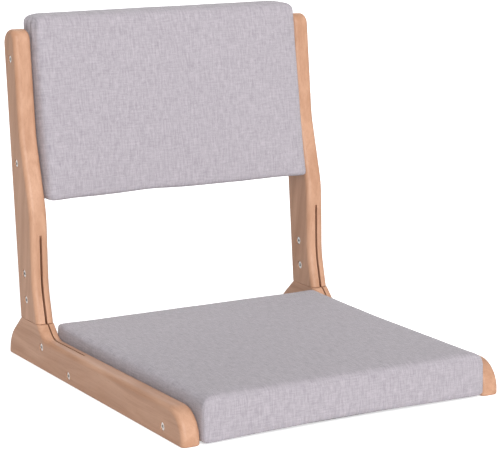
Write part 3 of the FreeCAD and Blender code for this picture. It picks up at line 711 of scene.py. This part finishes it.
def makeSeatPad():
    low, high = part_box("seat_cover")
    deckLow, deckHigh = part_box("seat_deck")
    size = high - low
    form = rolledBox(size, seatPad["cell"], seatPad["frontRadius"], seatPad["rearRadius"])
    middle = size.z * seatPad["rollFrom"]
    for vertex in form.verts:
        point = vertex.co
        lift = ease((point.z - middle) / (size.z - middle))
        nearSide = min(point.x, size.x - point.x)
        sideShare = 1 - (1 - seatPad["rearSideShare"]) * ease(point.y / size.y * 2 - 1)
        fall = seatPad["sideDrop"] * sideShare * quarter(nearSide, seatPad["sideReach"])
        fall = max(fall, seatPad["frontDrop"] * quarter(point.y, seatPad["frontReach"]))
        fall = max(fall, seatPad["rearDrop"] * quarter(size.y - point.y, seatPad["rearReach"]))
        point.z -= fall * lift
        vertex.co = point + low
    mesh = bpy.data.meshes.new("seat_pad")
    form.to_mesh(mesh)
    form.free()
    pad = addPiece("seat_pad", mesh, seatLinen, "base")
    band = seatPad["heldBand"]
    stuff(pad, seatPad,
          lambda p: p.z < deckLow.z and (p.y > low.y + band or p.z < low.z + band))
    for vertex in pad.data.vertices:
        shapeSeat(vertex, low, high, deckLow, deckHigh)
    subdivide(pad)
    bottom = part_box("seat_front_rail")[0].z
    hem = seatPad["hem"]
    hollow(pad, boxMesh(deckLow.x, deckHigh.x, deckLow.y, deckHigh.y, bottom, deckHigh.z))
    hollow(pad, boxMesh(low.x + hem, high.x - hem, low.y + hem, high.y - hem,
                        0.0, seatPad["hemHeight"]))
    finishPad(pad, seatLinen)
    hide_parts("seat_cover", "seat_foam")
    return pad


def shapeSeat(vertex, low, high, deckLow, deckHigh):
    point = vertex.co
    point += noise.noise_vector(point * seatPad["unevenScale"]) * seatPad["unevenness"]
    ahead = ease((deckLow.y - point.y) / seatPad["frontBlend"])
    hem = ease(1 - (point.z - low.z) / seatPad["hemBand"])
    arch = seatPad["frontArch"] * hump(point.x, seatPad["archPlace"], seatPad["archReach"])
    leftDip = hump(point.x, low.x, seatPad["dipReach"])
    rightDip = hump(point.x, high.x, seatPad["dipReach"])
    dip = seatPad["cornerDip"] * (leftDip + seatPad["rightDipShare"] * rightDip)
    point.z += (arch - dip) * ahead * hem
    point.z = max(point.z, low.z if ahead == 0 else seatPad["floorGap"])
    point.x = min(max(point.x, low.x), high.x)
    besideDeck = abs(point.x) > deckHigh.x - seatPad["deckInset"]
    if point.z < deckHigh.z + seatPad["deckBand"] and besideDeck and ahead < 1:
        point.x = math.copysign(max(abs(point.x), high.x - seatPad["deckRoom"]), point.x)


# the cover is sewn up along the seat's two front corners

def addSeatSeams(pad):
    low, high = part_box("seat_cover")
    away = seatPad["seamStart"]
    heights = [low.z + seatPad["seamFoot"] + i * seatPad["seamStep"]
               for i in range(seatPad["seamPoints"])]
    for side, x, heading in (("left", low.x, 1), ("right", high.x, -1)):
        starts = [Vector((x - heading * away, low.y - away, height)) for height in heights]
        sewnRidge("seat_" + side + "_seam", pad, starts, Vector((heading, 1, 0)).normalized(),
                  seatPad["seamRadius"], seatLinen, "base")


# backrest pad: foam and linen round the board, in front of the closing panel

backPad = {
    "cell": 0.0056,
    "frontRadius": 0.006, "rearRadius": 0.0035,
    "bottomDepth": 0.058, "topDepth": 0.041,
    "clothThickness": 0.0012,
    "sideReach": 0.017, "sideDrop": 0.0065,   # how the front rolls back to the sides
    "topReach": 0.016, "topDrop": 0.006,      # and to the top
    "cornerReach": 0.023, "cornerDrop": 0.0085,   # the top edge falls towards the corners
    "rollSpread": 1.4,                   # how soon the rolls reach their full depth
    "sidePull": 0.001,                   # the front's sides pull in between the corners
    "pullFrom": 0.15, "pullReach": 0.045, "pullDepth": 0.03,
    "crownRoom": 0.0008,
    "pressure": 4.0, "frames": 20, "limit": 0.003,
    "heldBand": 0.012,                   # the rear is held to the board to this depth
    # the lower edge rises a little left of its middle
    "hemLift": 0.0022, "hemPlace": -0.05, "hemReach": 0.042, "hemBand": 0.012,
    "unevenness": 0.0003, "unevenScale": 20,
    "hem": 0.026, "panelRoom": 0.006,
    # folds where the top corners are taken in, each with where it fades out
    "gatherDepth": 0.0018, "gatherPitch": 0.011,
    "gatherBelow": 0.05, "belowFade": 0.035,
    "gatherSide": 0.008, "sideFade": 0.006,
    "gatherFrom": 0.006, "gatherTo": 0.05, "toFade": 0.01,
}
boardLow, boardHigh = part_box("backrest_board")


def rearPlane(height):
    return boardHigh.y + backPad["clothThickness"] + (height - boardHigh.z) * rearLean


def makeBackPad():
    low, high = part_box("backrest_cover")
    size = Vector((high.x - low.x, backPad["bottomDepth"], high.z - low.z))
    form = rolledBox(size, backPad["cell"], backPad["frontRadius"], backPad["rearRadius"])
    for vertex in form.verts:
        point = vertex.co
        share = point.z / size.z
        depth = backPad["bottomDepth"] * (1 - share) + backPad["topDepth"] * share
        forward = 1 - point.y / size.y
        nearSide = min(point.x, size.x - point.x)
        roll = backPad["sideDrop"] * quarter(nearSide, backPad["sideReach"])
        roll = max(roll, backPad["topDrop"] * quarter(size.z - point.z, backPad["topReach"]))
        topQuarter = ease(share * 4 - 3)
        fall = backPad["cornerDrop"] * quarter(nearSide, backPad["cornerReach"]) * topQuarter
        height = low.z + point.z - fall
        setBack = ease(forward * backPad["rollSpread"]) * (roll + backPad["crownRoom"])
        vertex.co = Vector((low.x + point.x, rearPlane(height) - forward * depth + setBack, height))
    mesh = bpy.data.meshes.new("back_pad")
    form.to_mesh(mesh)
    form.free()
    pad = addPiece("back_pad", mesh, backLinen, "back")
    stuff(pad, backPad, lambda p: p.y > rearPlane(p.z) - backPad["heldBand"])
    for vertex in pad.data.vertices:
        shapeBack(vertex, low, high)
    subdivide(pad)
    for vertex in pad.data.vertices:
        gatherCorner(vertex, high)
    thickness = boardHigh.y - boardLow.y - rearLean * (boardHigh.z - boardLow.z)
    cloth = backPad["clothThickness"]
    hollow(pad, leaningBlock(boardLow.x, boardHigh.x, boardLow.z, boardHigh.z,
                             -cloth - thickness, -cloth))
    hem, room = backPad["hem"], backPad["panelRoom"]
    hollow(pad, leaningBlock(low.x + hem, high.x - hem, low.z + hem, high.z - hem, -room, room))
    finishPad(pad, backLinen)
    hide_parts("backrest_cover", "backrest_foam")


# a block between two planes that lie at front and rear from the backrest's rear face

def leaningBlock(left, right, bottom, top, front, rear):
    corners = []
    for height in (bottom, top):
        plane = rearPlane(height)
        corners += [(left, plane + front, height), (right, plane + front, height),
                    (right, plane + rear, height), (left, plane + rear, height)]
    return blockMesh(corners)


def shapeBack(vertex, low, high):
    point = vertex.co
    point += noise.noise_vector(point * backPad["unevenScale"]) * backPad["unevenness"]
    share = min(max((point.z - low.z) / (high.z - low.z), 0), 1)
    forward = ease((rearPlane(point.z) - point.y) / backPad["pullDepth"])
    nearSide = ease((abs(point.x) - backPad["pullFrom"]) / backPad["pullReach"])
    pull = backPad["sidePull"] * math.sin(math.pi * share) ** 0.5 * forward * nearSide
    point.x -= math.copysign(pull, point.x)
    point.x = min(max(point.x, low.x), high.x)
    hem = ease(1 - (point.z - low.z) / backPad["hemBand"])
    point.z += backPad["hemLift"] * hump(point.x, backPad["hemPlace"], backPad["hemReach"]) * hem
    point.y = min(point.y, rearPlane(point.z))


def gatherCorner(vertex, high):
    point = vertex.co
    inward = rearPlane(point.z) - point.y
    reach = (ease((point.z - high.z + backPad["gatherBelow"]) / backPad["belowFade"])
             * ease((abs(point.x) - high.x + backPad["gatherSide"]) / backPad["sideFade"]))
    reach *= (ease(inward / backPad["gatherFrom"])
              * ease((backPad["gatherTo"] - inward) / backPad["toFade"]))
    wave = 0.5 + 0.5 * math.cos(2 * math.pi * inward / backPad["gatherPitch"])
    point.x -= math.copysign(backPad["gatherDepth"] * reach * wave, point.x)


# a flat cloth with its edges turned in; lay takes (across, along, depth) to a place

def turnedCloth(name, width, length, hem, cell, layer, lay):

    def stations(side):
        half = side / 2
        count = max(2, round(side / cell))
        inner = [-half + side * i / count for i in range(1, count)]
        fold = [half - layer, half, half + layer, half + hem * 0.5, half + hem]
        return [-value for value in reversed(fold)] + inner + fold

    def turned(value, side):
        over = abs(value) - side / 2
        if over <= 0:
            return value, layer * 0.5 * ease(1 + over / layer)
        return math.copysign(side / 2 - over, value), layer * (0.5 + 0.5 * min(over / layer, 1))

    mesh = bmesh.new()
    across, along = stations(width), stations(length)
    grid = []
    for a in across:
        row = []
        for b in along:
            u, uDepth = turned(a, width)
            v, vDepth = turned(b, length)
            row.append(mesh.verts.new(lay(u, v, max(uDepth, vDepth))))
        grid.append(row)
    for i in range(len(across) - 1):
        for j in range(len(along) - 1):
            ring = [grid[i][j], grid[i + 1][j], grid[i + 1][j + 1], grid[i][j + 1]]
            mesh.faces.new(ring).smooth = True
    result = bpy.data.meshes.new(name)
    mesh.to_mesh(result)
    mesh.free()
    return result


# dust cover: thin black cloth stapled under the seat frame

dustCover = {
    "hem": 0.012, "cell": 0.008, "layer": 0.0004,
    "clearance": 0.0001,
    "sag": 0.0003, "sagReach": 0.05, "sagScale": 14,   # it hangs a little between its edges
}


def makeDustCover():
    low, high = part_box("seat_dust_cover")
    middle = (low + high) / 2
    halfWidth, halfLength = (high.x - low.x) / 2, (high.y - low.y) / 2

    def lay(u, v, depth):
        edge = min(halfWidth - abs(u), halfLength - abs(v))
        uneven = 0.6 + 0.4 * noise.noise(Vector((u, v, 0)) * dustCover["sagScale"])
        sag = dustCover["sag"] * ease(edge / dustCover["sagReach"]) * uneven
        return (middle.x + u, middle.y - v, low.z + dustCover["clearance"] + depth - sag)

    mesh = turnedCloth("dust_cover", halfWidth * 2, halfLength * 2, dustCover["hem"],
                       dustCover["cell"], dustCover["layer"], lay)
    cover = addPiece("dust_cover", mesh, makeDustCloth("dustCloth"), "base")
    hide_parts("seat_dust_cover")


# rear panel: linen that closes the back of the backrest, edges turned in and stapled

rearPanel = {
    "hem": 0.012, "cell": 0.007, "layer": 0.0004,
    "clearance": 0.0001,
    "pucker": 0.0003, "puckerPitch": 0.052, "puckerReach": 0.02,   # between the staples
    "weaveSetback": 0.01,                # the cloth vector's origin lies in front of the panel
}


def makeRearPanel():
    low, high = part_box("backrest_rear_panel")
    slope = math.sqrt(1 + rearLean ** 2)
    outer = high.y - rearPlane(high.z) - rearPanel["clearance"]
    halfWidth, halfLength = (high.x - low.x) / 2, (high.z - low.z) / 2 * slope
    middle = (low.z + high.z) / 2

    def lay(u, v, depth):
        edge = min(halfWidth - abs(u), halfLength - abs(v))
        along = v if halfWidth - abs(u) < halfLength - abs(v) else u
        wave = 0.5 + 0.5 * math.cos(2 * math.pi * along / rearPanel["puckerPitch"])
        pucker = rearPanel["pucker"] * wave * ease(1 - edge / rearPanel["puckerReach"])
        height = middle + v / slope
        return (u, rearPlane(height) + outer - depth - pucker, height)

    mesh = turnedCloth("rear_panel", halfWidth * 2, halfLength * 2, rearPanel["hem"],
                       rearPanel["cell"], rearPanel["layer"], lay)
    panelLinen = makeLinen("panelLinen", (0, low.y - rearPanel["weaveSetback"], middle),
                           math.radians(linen["panelTurn"]))
    panel = addPiece("rear_panel", mesh, panelLinen, "back")
    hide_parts("backrest_rear_panel")


seat = makeSeatPad()
addSeatSeams(seat)
makeBackPad()
print("pads ready")
makeDustCover()
makeRearPanel()
print("cloth sheets ready")
